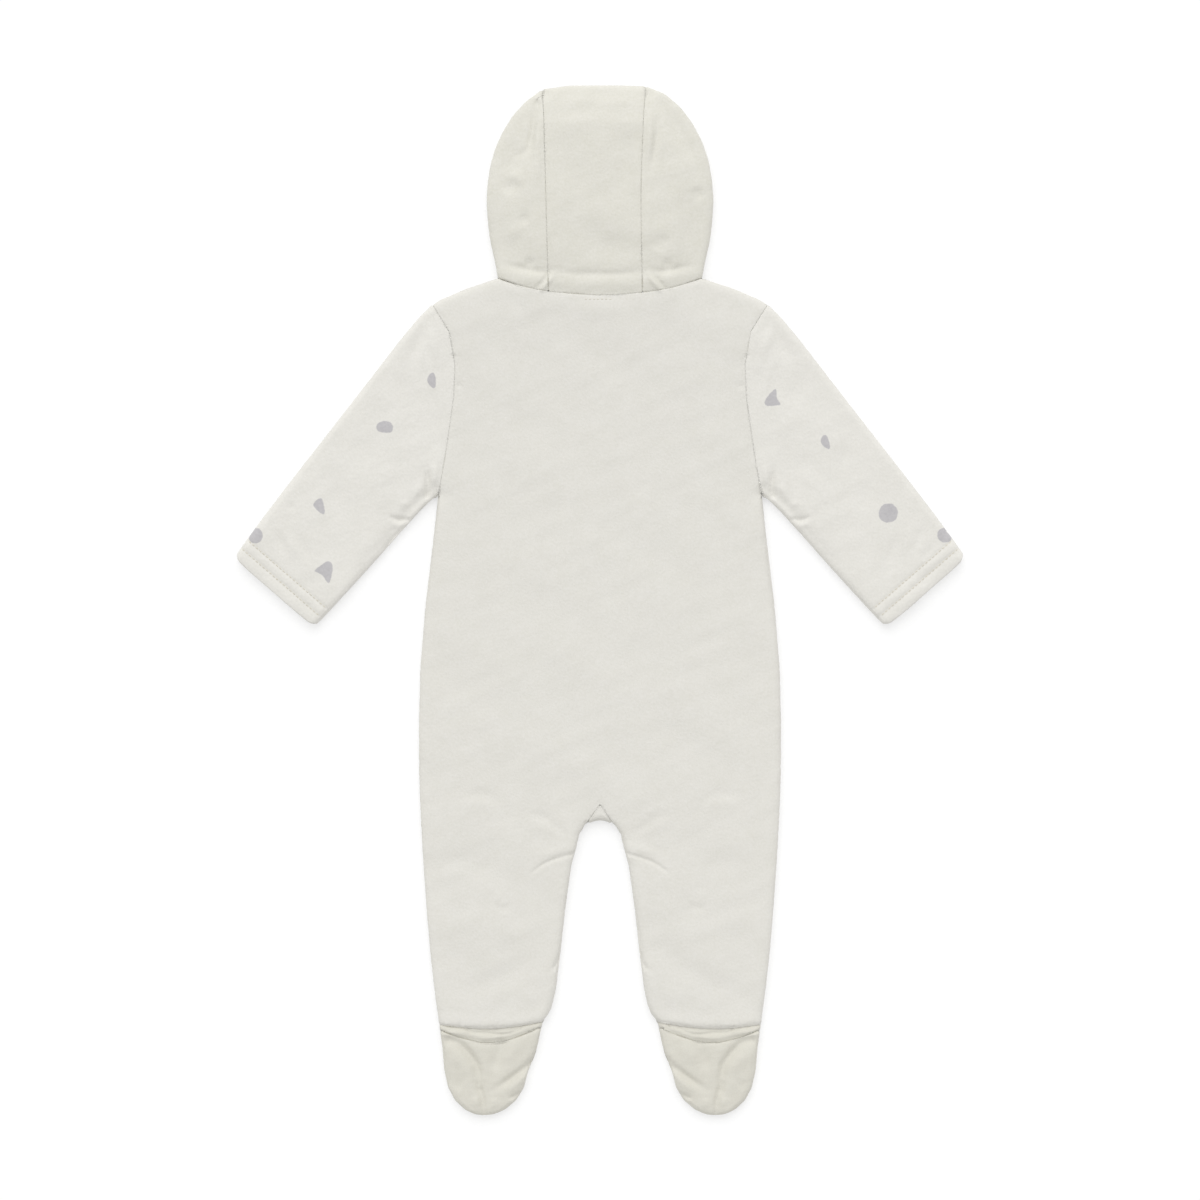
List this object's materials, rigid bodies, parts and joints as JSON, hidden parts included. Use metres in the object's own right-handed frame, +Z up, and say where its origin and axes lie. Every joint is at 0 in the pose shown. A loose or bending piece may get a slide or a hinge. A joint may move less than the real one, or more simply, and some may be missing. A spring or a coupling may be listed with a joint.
{
  "type": "baby pramsuit",
  "caption": "Hooded, footed baby pramsuit in cream plush velour with pebble-print sleeves and a front zip, laid flat face down.",
  "frame": {"origin": "on the surface that the garment lies on, under the middle of its box", "axes": "+Y towards the hood, +X to the right of someone looking down on its back, +Z up, away from the surface"},
  "size_m": [0.5244, 0.7428, 0.0152],
  "materials": {
    "plush_velour": "cream plush velour, soft short pile",
    "printed_velour": "cream plush velour with scattered grey pebbles in print",
    "foot_fleece": "smooth cream fleece",
    "zip_tape": "woven polyester tape",
    "zip_plastic": "moulded cream teeth",
    "zip_metal": "plain nickel-plated zip metal"
  },
  "bodies": {
    "garment": {"back": "plush_velour", "front_left": "plush_velour", "front_right": "plush_velour", "gusset": "plush_velour", "sleeve_left": "printed_velour", "sleeve_right": "printed_velour", "hood_centre": "plush_velour", "hood_side_left": "plush_velour", "hood_side_right": "plush_velour", "heel_left": "foot_fleece", "heel_right": "foot_fleece", "sole_left": "foot_fleece", "sole_right": "foot_fleece", "foot_top_left": "foot_fleece", "foot_top_right": "foot_fleece", "zip_tape_left": "zip_tape", "zip_tape_right": "zip_tape", "zip_teeth": "zip_plastic", "zip_stop": "zip_metal", "zip_slider": "zip_metal"},
    "pull_tab": {"zip_pull": "zip_metal"}
  },
  "joints": [
    {"name": "pull_swing", "type": "hinge", "parent": "garment", "child": "pull_tab", "pos_m": [0, 0.1875, 0.00115], "axis": [1, 0, 0], "range_deg": [0, 170]}
  ]
}
